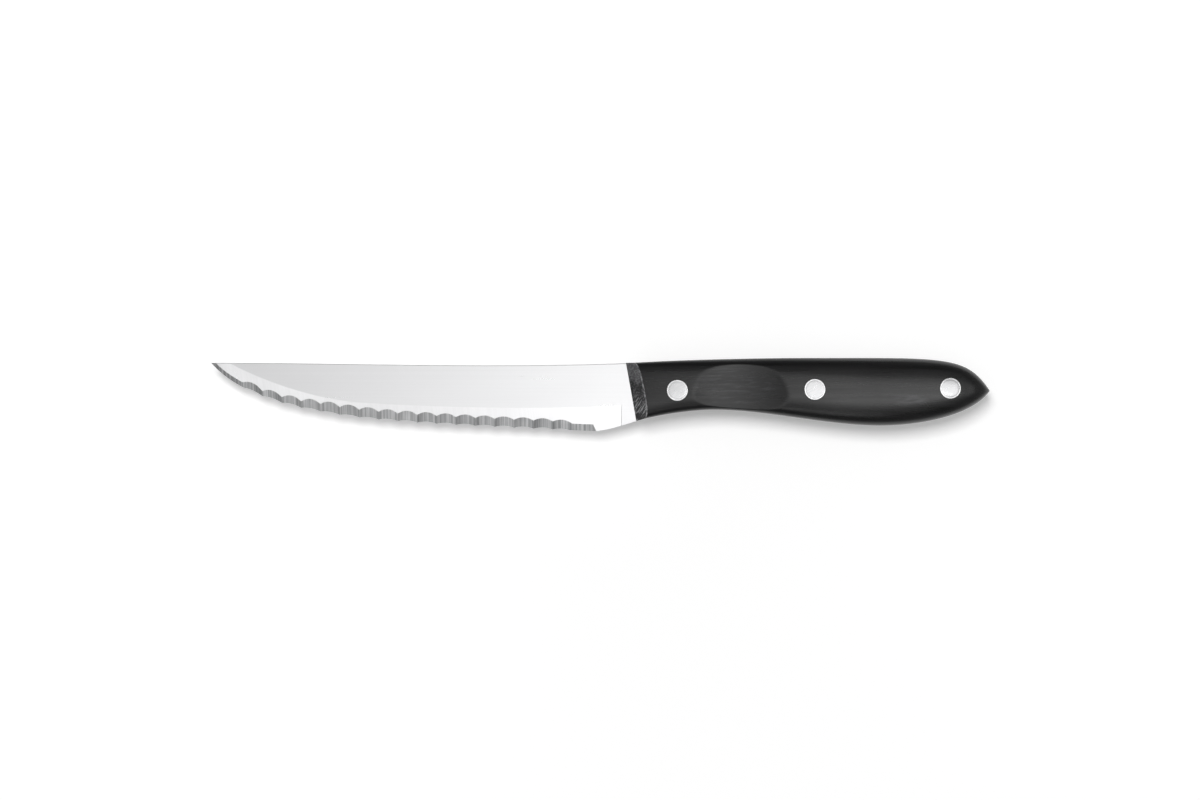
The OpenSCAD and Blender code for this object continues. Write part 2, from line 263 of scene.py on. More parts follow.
room = {
    # Walls by height, beside the knife and, paler, at its two ends
    "beside": [(0.0, "#8E8E8E"), (0.3, "#7A7A7A"), (0.6, "#565656"), (1.0, "#505050")],
    "ends": [(0.0, "#B0B0B0"), (0.6, "#A0A0A0"), (1.0, "#595959")],
    "backdrop": "#FFFFFF",      # what the camera itself sees behind the card
    "card": "#E6E6E6",
    "glow": "#FFFFFF",
    "cardGlow": (0.30, 0.9),    # under the knife, and where the lamps no longer reach
    "glowReach": (0.05, 1.45),  # metres from the middle to those two
    "cardSide": 12.0,           # metres from the middle to the card's edge
}


# A rectangular area lamp that looks straight down.
def addLamp(name, lamp):
    data = bpy.data.lights.new(name, "AREA")
    data.energy = lamp["power"]
    data.shape = "RECTANGLE"
    data.size, data.size_y = lamp["size"]
    light = bpy.data.objects.new(name, data)
    bpy.context.collection.objects.link(light)
    light.location = lamp["place"]
    light.rotation_euler = (0, 0, math.radians(lamp["turn"]))
    return light


# The studio's walls, darker towards the ceiling: the share of the paler ends is x squared,
# x being the direction's own. The camera sees the backdrop in their place.
def buildRoom():
    world = bpy.data.worlds.new("studio")
    bpy.context.scene.world = world
    world.use_nodes = True
    tree = world.node_tree
    tree.nodes.clear()
    direction = addNode(tree, "ShaderNodeTexCoord")
    axes = addNode(tree, "ShaderNodeSeparateXYZ", links={0: direction.outputs["Generated"]})
    beside = addNode(tree, "ShaderNodeValToRGB", links={0: axes.outputs["Z"]})
    setRamp(beside, room["beside"])
    ends = addNode(tree, "ShaderNodeValToRGB", links={0: axes.outputs["Z"]})
    setRamp(ends, room["ends"])
    share = addNode(tree, "ShaderNodeMath", {"operation": "MULTIPLY"}, {
        0: axes.outputs["X"], 1: axes.outputs["X"]})
    walls = addNode(tree, "ShaderNodeMixRGB", links={
        0: share.outputs[0], 1: beside.outputs[0], 2: ends.outputs[0]})
    light = addNode(tree, "ShaderNodeBackground", {"Strength": 1.0}, {"Color": walls.outputs[0]})
    backdrop = addNode(tree, "ShaderNodeBackground", {
        "Color": linear(room["backdrop"]), "Strength": 1.0})
    path = addNode(tree, "ShaderNodeLightPath")
    seen = addNode(tree, "ShaderNodeMixShader", links={
        0: path.outputs["Is Camera Ray"], 1: light.outputs[0], 2: backdrop.outputs[0]})
    addNode(tree, "ShaderNodeOutputWorld", links={"Surface": seen.outputs[0]})


# Matt white card: its diffuse part takes the shadow, its glow to camera and metal makes it
# white. The glow grows straight with the distance from the middle.
def buildFloor():
    material, tree = newMaterial("white card")
    diffuse = addNode(tree, "ShaderNodeBsdfDiffuse", {"Color": linear(room["card"])})
    coordinates = addNode(tree, "ShaderNodeTexCoord")
    distance = addNode(tree, "ShaderNodeVectorMath", {"operation": "LENGTH"}, {
        0: coordinates.outputs["Object"]})
    near, far = room["glowReach"]
    nearGlow, farGlow = room["cardGlow"]
    strength = addNode(tree, "ShaderNodeMapRange", {1: near, 2: far, 3: nearGlow, 4: farGlow}, {
        0: distance.outputs["Value"]})
    glow = addNode(tree, "ShaderNodeEmission", {"Color": linear(room["glow"])}, {
        "Strength": strength.outputs[0]})
    both = addNode(tree, "ShaderNodeAddShader", links={0: diffuse.outputs[0], 1: glow.outputs[0]})
    path = addNode(tree, "ShaderNodeLightPath")
    seen = addNode(tree, "ShaderNodeMath", {"operation": "MAXIMUM"}, {
        0: path.outputs["Is Camera Ray"], 1: path.outputs["Is Glossy Ray"]})
    mix = addNode(tree, "ShaderNodeMixShader", links={
        0: seen.outputs[0], 1: diffuse.outputs[0], 2: both.outputs[0]})
    addNode(tree, "ShaderNodeOutputMaterial", links={"Surface": mix.outputs[0]})
    side = room["cardSide"]
    corners = [(-side, -side, 0), (side, -side, 0), (side, side, 0), (-side, side, 0)]
    mesh = bpy.data.meshes.new("floor")
    mesh.from_pydata(corners, [], [(0, 1, 2, 3)])
    mesh.materials.append(material)
    floor = bpy.data.objects.new("floor", mesh)
    bpy.context.collection.objects.link(floor)


buildRoom()
buildFloor()
for name, lamp in lamps.items():
    light = addLamp(name, lamp)
    if name == "key":
        light.rotation_euler = (-light.location).to_track_quat("-Z", "Y").to_euler()
        light.visible_glossy = False  # it lights, and no bright square shows in the steel
    elif name != "veil":
        light.visible_diffuse = False  # seen in steel and resin only, so one clear shadow stays
print("stage built")


# Object space counted in grains of that size in mm, turned about z by degrees, from a
# place in mm.
def grainSpace(tree, size, turn=0.0, place=(0, 0, 0)):
    coordinates = addNode(tree, "ShaderNodeTexCoord")
    mapping = addNode(tree, "ShaderNodeMapping", {
        "vector_type": "TEXTURE",
        "Location": tuple(millimetre * p for p in place),
        "Rotation": (0, 0, math.radians(turn)),
        "Scale": tuple(millimetre * s for s in size),
    }, {"Vector": coordinates.outputs["Object"]})
    return mapping.outputs[0]


# One noise on its grain: about one light and one dark streak for each grain's length.
def streaks(tree, size, turn=0.0, detail=2.0):
    space = grainSpace(tree, size, turn)
    noise = addNode(tree, "ShaderNodeTexNoise", {"Scale": 1.0, "Detail": detail}, {"Vector": space})
    return noise.outputs[0]


# 1 inside an oval of that place and half size in mm, 0 outside it, smooth over its fade,
# which is a share of its size.
def ovalMask(tree, oval):
    space = grainSpace(tree, oval["half"], 0.0, oval["place"])
    reach = addNode(tree, "ShaderNodeVectorMath", {"operation": "LENGTH"}, {0: space})
    inside, outside = 1 - oval["fade"], 1 + oval["fade"]
    border = addNode(tree, "ShaderNodeMapRange", {
        "interpolation_type": "SMOOTHSTEP", 1: inside, 2: outside, 3: 1.0, 4: 0.0}, {
        0: reach.outputs["Value"]})
    return border.outputs[0]


# Noise keeps mostly between these two, and the sum of two noises between the next two.
noiseLow, noiseHigh = 0.3, 0.7
sumLow, sumHigh = 0.6, 1.4


# A principled surface from its settings, the outputs that drive it and a relief in mm.
def addSurface(tree, settings, links, height, relief):
    bump = addNode(tree, "ShaderNodeBump", {"Distance": millimetre * relief}, {"Height": height})
    links = {**links, "Normal": bump.outputs[0]}
    shader = addNode(tree, "ShaderNodeBsdfPrincipled", settings, links)
    addNode(tree, "ShaderNodeOutputMaterial", links={"Surface": shader.outputs[0]})


lineDetail = 1.5  # octaves of the noise that makes the metals' lines


# Ground and polished metals: colour stops and roughness run along the streaks of the abrasive,
# and a cloud of larger smears shifts the roughness a little. grain and cloud are sizes in mm.
def abradedMetal(name, finish):
    material, tree = newMaterial(name)
    lines = streaks(tree, finish["grain"], finish["turn"], lineDetail)
    cloud = streaks(tree, finish["cloud"])
    colour = addNode(tree, "ShaderNodeValToRGB", links={0: lines})
    setRamp(colour, finish["stops"])
    low, high = finish["roughness"]
    blend = addNode(tree, "ShaderNodeMath", {"operation": "ADD"}, {0: lines, 1: cloud})
    roughness = addNode(tree, "ShaderNodeMapRange", {1: sumLow, 2: sumHigh, 3: low, 4: high}, {
        0: blend.outputs[0]})
    links = {"Base Color": colour.outputs[0], "Roughness": roughness.outputs[0]}
    addSurface(tree, {"Metallic": 1.0}, links, lines, finish["relief"])
    return material


# Stainless sheet, polished along its length on a fine belt: near white, with hair lines
# (0.5 mm here, coarser than the real 0.05 mm, so that they show) and soft reflections.
polishedSteel = abradedMetal("belt-polished stainless steel", {
    "grain": (70, 0.5, 0.5), "turn": 0, "cloud": (24, 7, 7),
    "stops": [(0.3, "#DCDCDD"), (0.7, "#DEDEDF")],
    "roughness": (0.27, 0.3), "relief": 0.00006,
})
# The primary bevel, ground across on a wheel and polished: brighter than the flat, its lines
# run from spine to edge (0.6 mm here, coarser than the real 0.1 mm).
bevelSteel = abradedMetal("wheel-ground and polished bevel", {
    "grain": (0.6, 24, 24), "turn": 8, "cloud": (9, 5, 5),
    "stops": [(0.3, "#E6E6E7"), (0.7, "#EBEBEC")],
    "roughness": (0.27, 0.32), "relief": 0.0001,
})
# The flutes keep the raw marks of the profiled stone: coarse streaks across the edge, light
# and dark, about half a millimetre apart as in the photograph.
fluteSteel = abradedMetal("stone-ground flutes", {
    "grain": (0.55, 40, 40), "turn": 0, "cloud": (5, 3, 3),
    "stops": [(0.28, "#A6A7A9"), (0.5, "#CBCCCD"), (0.72, "#EFEFF0")],
    "roughness": (0.36, 0.46), "relief": 0.004,
})
# Spine, choil and tang rims: sheared in the blanking press, then deburred along their
# length, which leaves them duller and a little uneven.
rimSteel = abradedMetal("deburred sheared rim", {
    "grain": (3, 3, 0.35), "turn": 0, "cloud": (8, 8, 1),
    "stops": [(0.3, "#B9B9BA"), (0.7, "#D2D2D3")],
    "roughness": (0.34, 0.46), "relief": 0.003,
})
# Aluminium heads, sanded flush with the scales and buffed: slanted lines (0.25 mm here,
# coarser than the real ones) and dull smears.
rivetMetal = abradedMetal("sanded and buffed aluminium", {
    "grain": (2.6, 0.25, 2.6), "turn": 28, "cloud": (2.2, 1.6, 2),
    "stops": [(0.3, "#C6C6C7"), (0.7, "#D4D4D5")],
    "roughness": (0.25, 0.33), "relief": 0.0006,
})
# Their outermost ring, paler than the face where it meets the resin: a painted highlight.
rivetRingHighlightMetal = abradedMetal("aluminium ring with painted highlight", {
    "grain": (0.6, 0.6, 0.6), "turn": 0, "cloud": (2.2, 1.6, 2),
    "stops": [(0.3, "#F1F1F2"), (0.7, "#F8F8F8")],
    "roughness": (0.25, 0.33), "relief": 0.0004,
})


resinIndex = 1.6  # of pressed resin laminate, a little above plain plastic's


# A resin surface from its colour and height: roughness runs over the finish's two values
# with the noise, further links drive other inputs.
def resinSurface(tree, finish, noise, colour, height, links=None):
    low, high = finish["roughness"]
    roughness = addNode(tree, "ShaderNodeMapRange", {1: noiseLow, 2: noiseHigh, 3: low, 4: high}, {
        0: noise})
    links = {"Base Color": colour, "Roughness": roughness.outputs[0], **(links or {})}
    addSurface(tree, {"IOR": resinIndex}, links, height, finish["relief"])


# Black pressed resin laminate, shaped on a belt and buffed: deep black under soft, broad
# reflections, with long buffing streaks and short sanding scuffs in the thumb scoop, and a
# painted highlight: a paler spot near the butt. The front half, where fingers hold it, has
# lost some gloss.
def blackResinMaterial():
    finish = {
        "buffing": {"size": (26, 1.1, 1.1), "turn": 0.0, "detail": 3.0},
        "scuffs": {"size": (4.5, 0.55, 0.55), "turn": 4.0, "detail": 3.0},
        "scoop": {"place": (38.6, 2.2, 7.4), "half": (12.6, 5.2, 400), "fade": 0.12},
        # The paler spot near the butt: a painted highlight
        "paintedHighlight": {"place": (89.0, -1.6, 14.0), "half": (4.6, 1.7, 6), "fade": 0.35},
        "dulled": {"place": (24.0, 0.0, 7.4), "half": (38, 400, 400), "fade": 0.3},
        "black": [(0.3, "#060606"), (0.7, "#0E0E0F")],
        "scuffed": [(0.5, "#070708"), (0.68, "#262628")],
        "highlightTone": [(0.4, "#141415"), (0.66, "#3A3A3C")],
        "gloss": (0.5, 0.38),  # specular level, buffed and dulled
        "roughness": (0.25, 0.32),
        "relief": 0.002,
    }
    material, tree = newMaterial("buffed black resin")
    buffing = streaks(tree, **finish["buffing"])
    scuffs = streaks(tree, **finish["scuffs"])
    black = addNode(tree, "ShaderNodeValToRGB", links={0: buffing})
    setRamp(black, finish["black"])
    scuffed = addNode(tree, "ShaderNodeValToRGB", links={0: scuffs})
    setRamp(scuffed, finish["scuffed"])
    # Colours of that painted highlight near the butt
    highlightTone = addNode(tree, "ShaderNodeValToRGB", links={0: scuffs})
    setRamp(highlightTone, finish["highlightTone"])
    body = addNode(tree, "ShaderNodeMixRGB", links={
        0: ovalMask(tree, finish["scoop"]), 1: black.outputs[0], 2: scuffed.outputs[0]})
    colour = addNode(tree, "ShaderNodeMixRGB", links={
        0: ovalMask(tree, finish["paintedHighlight"]), 1: body.outputs[0], 2: highlightTone.outputs[0]})
    buffed, dulled = finish["gloss"]
    gloss = addNode(tree, "ShaderNodeMapRange", {3: buffed, 4: dulled}, {
        0: ovalMask(tree, finish["dulled"])})
    resinSurface(tree, finish, buffing, colour.outputs[0], scuffs, {
        "Specular IOR Level": gloss.outputs[0]})
    return material


# The front ends of the scales are left as the coarse belt cut them: torn dark resin and pale
# scratches that climb from the belly side towards the spine. Towards the crest the face is
# paler, a painted highlight. The marks are as coarse as the photograph shows them.
def rawResinMaterial():
    finish = {
        "scratches": {"size": (2.2, 0.3, 2.2), "turn": 57.0, "detail": 2.0},
        "torn": {"size": (0.75, 0.5, 0.75), "turn": 0.0, "detail": 4.0},
        "belly": {"place": (11.5, -5.4, 11.5), "half": (9, 4.9, 9), "fade": 0.3},
        # Paler towards the crest: a painted highlight
        "crest": {"place": (11.2, 8.2, 11.5), "half": (4.2, 4.6, 9), "fade": 0.25},
        "resin": [(0.47, "#050506"), (0.64, "#5E5E60")],
        "scratched": [(0.5, "#1C1C1D"), (0.62, "#8E8E90")],
        "crestHighlight": [(0.4, "#3A3A3C"), (0.64, "#6C6C6E")],
        "roughness": (0.42, 0.6),
        "relief": 0.02,
    }
    material, tree = newMaterial("belt-cut resin end")
    scratches = streaks(tree, **finish["scratches"])
    torn = streaks(tree, **finish["torn"])
    resin = addNode(tree, "ShaderNodeValToRGB", links={0: torn})
    setRamp(resin, finish["resin"])
    scratched = addNode(tree, "ShaderNodeValToRGB", links={0: scratches})
    setRamp(scratched, finish["scratched"])
    # Colours of the painted highlight at the crest
    crestHighlight = addNode(tree, "ShaderNodeValToRGB", links={0: torn})
    setRamp(crestHighlight, finish["crestHighlight"])
    belly = ovalMask(tree, finish["belly"])
    cut = addNode(tree, "ShaderNodeMixRGB", links={
        0: belly, 1: resin.outputs[0], 2: scratched.outputs[0]})
    colour = addNode(tree, "ShaderNodeMixRGB", links={
        0: ovalMask(tree, finish["crest"]), 1: cut.outputs[0], 2: crestHighlight.outputs[0]})
    height = addNode(tree, "ShaderNodeMixRGB", links={0: belly, 1: torn, 2: scratches})
    resinSurface(tree, finish, torn, colour.outputs[0], height.outputs[0])
    return material


# The corner between that cut face and the crown: pale in patches, a painted highlight of that edge.
def highlightCornerMaterial():
    finish = {
        "highlightNoise": {"size": (0.8, 0.8, 0.8), "turn": 0.0, "detail": 3.0},
        "stops": [(0.36, "#2C2C2E"), (0.62, "#9C9C9E")],
        "roughness": (0.4, 0.55),
        "relief": 0.01,
    }
    material, tree = newMaterial("resin corner with painted highlight")
    highlightNoise = streaks(tree, **finish["highlightNoise"])
    # Pale patches along the corner: a painted highlight of that edge
    colour = addNode(tree, "ShaderNodeValToRGB", links={0: highlightNoise})
    setRamp(colour, finish["stops"])
    resinSurface(tree, finish, highlightNoise, colour.outputs[0], highlightNoise)
    return material


blackResin = blackResinMaterial()
rawResin = rawResinMaterial()
highlightCorner = highlightCornerMaterial()
print("materials made")

bladeShape = {
    "polish": 0.03,         # taken off each face of the blade
    "polishEnd": 1.0,       # length under the scales over which that ends
    "edgeThickness": 0.66,  # left at the heel by the bevel
    "pointThickness": 0.26,
    "plungeSetback": 1.3,   # flat steel kept before the handle
    "plungeRun": 0.12,      # length over which the bevel ends
    "fluteCount": 17,
    "fluteRadius": 20.0,
    "fluteHeight": 2.3,     # of the cusps
    "pointHeight": 1.4,     # of the first one and of the plain land before it
    "fadeFlutes": 4,        # flutes over which the cusps rise from that
    "fluteAngle": 19.0,     # degrees to the blade's plane
    "pointLand": 9.25,
    "heelLand": 6.1,
    "landHeight": 1.9,      # at the heel
    "wallLean": 60.0,       # of the heel land's end wall, degrees
    "wallReach": 1.0,       # length beyond the heel that holds this wall
    "spineEase": 0.15,      # radius left by deburring
    "crease": 4,            # degrees above which two faces meet in a crisp line
}
# Columns on each stretch of the blade, powers that crowd them to one end, and rows.
bladeColumns = {
    "point": 90, "flute": 36, "land": 36, "wall": 24,
    "choil": 30, "plunge": 16, "ricasso": 24, "tang": 150,
}
crowding = {"point": 1.6, "plunge": 0.7, "tang": 1.7}
bladeRows = {"flute": 4, "bevel": 5, "flat": 10, "corner": 5, "bevelBelow": 6}
pastPlunge = 0.02   # mm from the bevel's end to the next column
ricassoStart = 0.1  # and to the first of the ricasso's
noGrind = 50.0      # mm, a depth that the grind never reaches
steelSlots = {"flat": 0, "bevel": 1, "flute": 2, "rim": 3}

halfSteel = knife["steel"] / 2
halfBlade = halfSteel - bladeShape["polish"]
plungeX = frontX - bladeShape["plungeSetback"]
flutesX = pointX + bladeShape["pointLand"]
landX = heelX - bladeShape["heelLand"]
flutePitch = (landX - flutesX) / bladeShape["fluteCount"]
wallX = heelX + bladeShape["wallReach"]
tangX = frontBottom[0] + bladeShape["polishEnd"]
fluteSin = math.sin(math.radians(bladeShape["fluteAngle"]))
fluteCos = math.cos(math.radians(bladeShape["fluteAngle"]))


# Half the thickness left at the edge: (point + (heel - point) * (x - point's x) / length) / 2.
def halfEdgeAt(x):
    thin, thick = bladeShape["pointThickness"], bladeShape["edgeThickness"]
    return (thin + (thick - thin) * (x - pointX) / knife["bladeLength"]) / 2


# Distance of the ground surface from the middle plane, square to the flutes. It leaves the
# bevel at that height h above the edge: cos a * (edge + slope * h) - sin a * (y of the edge + h).
def grindAt(x, height):
    low = heightAt(x, edge)
    slope = (halfBlade - halfEdgeAt(x)) / (heightAt(x, bevelLine) - low)
    return fluteCos * (halfEdgeAt(x) + slope * height) - fluteSin * (low + height)


# Height of cusp i: point + (full - point) * (i / fade)^2 up to full, and the land's height
# at the heel.
def cuspHeight(i):
    rise = np.clip(i / bladeShape["fadeFlutes"], 0, 1) ** 2
    first, full = bladeShape["pointHeight"], bladeShape["fluteHeight"]
    height = first + (full - first) * rise
    return np.where(i == bladeShape["fluteCount"], bladeShape["landHeight"], height)


# Ground surface along the blade: the deepest of the plain lands and of the round flutes.
# A flute is the arc of one radius through its two cusps:
# n = centre - sqrt(radius^2 - (x - centre)^2).
def grindDepth(x):
    radius = bladeShape["fluteRadius"]
    nearPoint = x < heelX / 2 + pointX / 2
    height = np.where(nearPoint, bladeShape["pointHeight"], bladeShape["landHeight"])
    land = grindAt(np.minimum(x, heelX), height)
    rise = np.clip(x - heelX, 0, None) / math.tan(math.radians(bladeShape["wallLean"]))
    onLand = (x <= flutesX + flutePitch / 2) | (x >= landX - flutePitch / 2)
    depth = np.where(onLand, land + rise, np.inf)
    flute = np.clip(np.floor((x - flutesX) / flutePitch), 0, bladeShape["fluteCount"] - 1)
    startX = flutesX + flute * flutePitch
    startN = grindAt(startX, cuspHeight(flute))
    endN = grindAt(startX + flutePitch, cuspHeight(flute + 1))
    chord = np.hypot(flutePitch, endN - startN)
    reach = np.sqrt(radius ** 2 - chord ** 2 / 4)
    centreX = startX + flutePitch / 2 - (endN - startN) / chord * reach
    centreN = (startN + endN) / 2 + flutePitch / chord * reach
    across = np.clip(np.abs(x - centreX), 0, radius)
    return np.minimum(depth, centreN - np.sqrt(radius ** 2 - across ** 2))


# Columns that share the way from low to high evenly: low + (high - low) * k / count.
def spread(low, high, count):
    k = np.linspace(0, 1, count + 1)
    return low[:, None] + (high - low)[:, None] * k


# x of the blade's columns, from the point to the butt. Each stretch is spaced evenly, or by
# start + (end - start) * k^power where the shape turns fast at one end.
def bladeStations():
    columns, run = bladeColumns, bladeShape["plungeRun"]
    return np.unique(np.round(np.concatenate([
        pointX + (flutesX - pointX) * np.linspace(0, 1, columns["point"]) ** crowding["point"],
        np.linspace(flutesX, landX, bladeShape["fluteCount"] * columns["flute"] + 1),
        np.linspace(landX, heelX, columns["land"]),
        np.linspace(heelX, wallX, columns["wall"]),
        np.linspace(wallX, plungeX - run, columns["choil"]),
        plungeX - run * np.linspace(0, 1, columns["plunge"]) ** crowding["plunge"],
        [plungeX + pastPlunge],
        np.linspace(plungeX + ricassoStart, tangX, columns["ricasso"]),
        buttX - (buttX - tangX) * np.linspace(1, 0, columns["tang"]) ** crowding["tang"],
    ]), 5))


# The blade as rings of points in y and z, one at each x, from the edge up over the spine
# and back. Half thickness: the smallest of the flat, the bevel edge + slope * (y - edge)
# and, on the upper side, the grind (n + y * sin a) / cos a. Rows lie on every line where
# two of them meet.
def bladeRings():
    run, polishEnd = bladeShape["plungeRun"], bladeShape["polishEnd"]
    x = bladeStations()
    top = np.where(x < frontTop[0], heightAt(x, spine), heightAt(x, back))
    outline = np.where(x < heelX, heightAt(x, edge), heightAt(x, choil))
    outline = np.where(x < frontBottom[0], outline, heightAt(x, belly))
    edgeY = heightAt(x, edge)
    lift = np.clip((x - plungeX + run) / run, 0, 1)
    thin = halfEdgeAt(x)
    rest = thin + (halfBlade - thin) * (1 - np.sqrt(1 - lift ** 2))
    underScale = np.clip((x - frontBottom[0]) / polishEnd, 0, 1)
    half = halfBlade + (halfSteel - halfBlade) * underScale
    bevelY = heightAt(x, bevelLine)
    slope = (half - rest) / (bevelY - edgeY)
    depth = np.where(x < wallX, grindDepth(x), np.inf)
    depth = np.where(np.isfinite(depth), depth, noGrind)
    tangent = fluteSin / fluteCos

    low = np.maximum(outline, (-rest + slope * edgeY - depth / fluteCos) / (tangent + slope))
    low = np.minimum(low, top)
    meet = (rest - slope * edgeY - depth / fluteCos) / (tangent - slope)
    meet = np.where(meet > bevelY, (half * fluteCos - depth) / fluteSin, meet)
    ease = bladeShape["spineEase"] * np.clip((frontTop[0] + polishEnd - x) / polishEnd, 0, 1)
    ease = np.minimum(ease, (top - low) / 3)  # less where the point is narrow
    crest = top - ease
    meet = np.clip(meet, low, crest)
    unground = x > plungeX + pastPlunge / 2
    bevelTop = np.where(unground, meet, np.clip(bevelY, meet, crest))
    bevelUnder = np.where(unground, low, np.clip(bevelY, low, crest))

    # The flat and the bevel, whichever is lower
    def sideZ(y):
        return np.minimum(half[:, None], rest[:, None] + slope[:, None] * (y - edgeY[:, None]))

    # The same with the flutes' grind
    def upperZ(y):
        return np.minimum(sideZ(y), depth[:, None] / fluteCos + tangent * y)

    turn = np.linspace(0, math.pi / 2, bladeRows["corner"])
    corner = crest[:, None] + ease[:, None] * np.sin(turn)
    drop = ease[:, None] * (1 - np.cos(turn))
    # y of the points, their side (2 and -2 have the eased corner's drop), and their slot
    parts = [
        (spread(low, low, 1)[:, :1], -1, "rim"),
        (spread(low, meet, bladeRows["flute"]), 1, "flute"),
        (spread(meet, bevelTop, bladeRows["bevel"]), 1, "bevel"),
        (spread(bevelTop, crest, bladeRows["flat"]), 1, "flat"),
        (corner, 2, "rim"),
        (corner[:, ::-1], -2, "rim"),
        (spread(crest, bevelUnder, bladeRows["flat"]), -1, "flat"),
        (spread(bevelUnder, low, bladeRows["bevelBelow"]), -1, "bevel"),
    ]
    ys, zs, slots = [], [], []
    for y, side, slot in parts:
        z = upperZ(y) if side > 0 else -sideZ(y)
        if side == 2:
            z = z - drop
        if side == -2:
            z = z + drop[:, ::-1]
        ys.append(y)
        zs.append(z)
        slots += [steelSlots[slot]] * y.shape[1]
    y, z = np.hstack(ys), np.hstack(zs)
    z[:, 0] = np.minimum(z[:, 0], z[:, 1])
    grid = np.stack([np.broadcast_to(x[:, None], y.shape), y, z + middleZ], axis=2)
    slots[1] = steelSlots["rim"]  # the narrow face of the edge and of the tang's underside
    return grid, np.array(slots[1:])


scaleShape = {
    "chamfer": 51.0,        # ground front face to the blade's plane, degrees
    "rims": (0.5, 0.3),     # upright rim in the crown's height, at the front and from the swell on
    "powers": (3.3, 2.5),   # squareness of a section above that rim, at the same places
    "swellShare": 0.7,
    "buttRound": 0.11,      # share of the length that is rounded off at the butt
    "buttPower": 2.4,
    "scoopRadius": 86.0,
    "scoopDepth": 1.0,
    "scoopTilt": 3.0,       # deeper towards the belly, degrees
    "scoopShare": 0.296,    # its middle
    "scoopSoftness": 0.12,  # rounding of its rim
    "corner": (0.11, 0.2),  # corner row with the painted highlight and the next row, in shares of the front face
    "crease": 30,
    "stations": 400,        # columns along the scale, crowded to the butt by the next power
    "stationCrowding": 1.5,
    "steps": 96,            # rows over the crown, up its walls and down the front face
    "wallSteps": 5,
    "frontRows": 8,
    "firstGuess": 3.0,      # mm behind the front, where the search for the front plane starts
    "rounds": 60,           # of that search
}
crownShares = np.vstack([
    bezier([[-0.02, 0.64], [0.13, 0.9], [0.4, 0.9], [0.7, 1]]),
    bezier([[0.7, 1], [0.8, 1], [0.92, 0.94], [1, 0.88]])[1:],
])
swellX = frontX + scaleShape["swellShare"] * knife["handleLength"]
resinSlots = {"crown": 0, "cut": 1, "corner": 2}


# Crown of a scale above the tang: thickness * share, rounded off at the butt by
# (1 - (1 - q)^p)^(1/p), q being the way from the butt's end to where the rounding starts.
def crownHeight(x):
    share = np.interp((x - frontX) / knife["handleLength"], crownShares[:, 0], crownShares[:, 1])
    q = np.clip((buttX - x) / (scaleShape["buttRound"] * knife["handleLength"]), 0, 1)
    power = scaleShape["buttPower"]
    return knife["scale"] * share * (1 - (1 - q) ** power) ** (1 / power)


# Straight from the front's value to the swell's: front + (swell - front) * way, at most 1.
def blendAlong(x, values):
    along = np.minimum(1, (x - frontX) / (swellX - frontX))
    return values[0] + (values[1] - values[0]) * along


# Upright rim and squared oval: y = middle + half depth * cos^(2/p),
# z = crown * (rim * lift + (1 - rim) * sin^(2/p)).
def sectionPoint(x, turn, lift):
    top, bottom = heightAt(x, back), heightAt(x, belly)
    power, rim = 2 / blendAlong(x, scaleShape["powers"]), blendAlong(x, scaleShape["rims"])
    c, s = np.cos(turn), np.abs(np.sin(turn))
    s = np.where(s < 1e-9, 0, s)  # half a turn ends exactly on the rim
    y = (top + bottom) / 2 + (top - bottom) / 2 * np.sign(c) * np.abs(c) ** power
    return y, crownHeight(x) * (rim * lift + (1 - rim) * s ** power)


# Height of the crown over a place: the same solved for z.
def crownAt(x, y):
    top, bottom = heightAt(x, back), heightAt(x, belly)
    power, rim = blendAlong(x, scaleShape["powers"]), blendAlong(x, scaleShape["rims"])
    across = np.clip(np.abs(2 * y - top - bottom) / (top - bottom), 0, 1)
    return crownHeight(x) * (rim + (1 - rim) * (1 - across ** power) ** (1 / power))


# The lower of two heights, with the corner between them rounded over k:
# b * (1 - h) + a * h - k * h * (1 - h), where h goes from 0 to 1 as b - a goes from -k to k.
def softMinimum(a, b, k):
    h = np.clip(0.5 + 0.5 * (b - a) / k, 0, 1)
    return b * (1 - h) + a * h - k * h * (1 - h)


# Height of the scoop: floor + tan(tilt) * (y - middle)
# + (radius - sqrt(radius^2 - distance^2)) / cos(tilt).
def scoopFloor(x, y):
    centre = frontX + scaleShape["scoopShare"] * knife["handleLength"]
    middle = (heightAt(centre, back) + heightAt(centre, belly)) / 2
    radius, tilt = scaleShape["scoopRadius"], math.radians(scaleShape["scoopTilt"])
    across = np.clip(np.abs(x - centre), 0, radius)
    wheel = (radius - np.sqrt(radius ** 2 - across ** 2)) / math.cos(tilt)
    return crownHeight(centre) - scaleShape["scoopDepth"] + math.tan(tilt) * (y - middle) + wheel


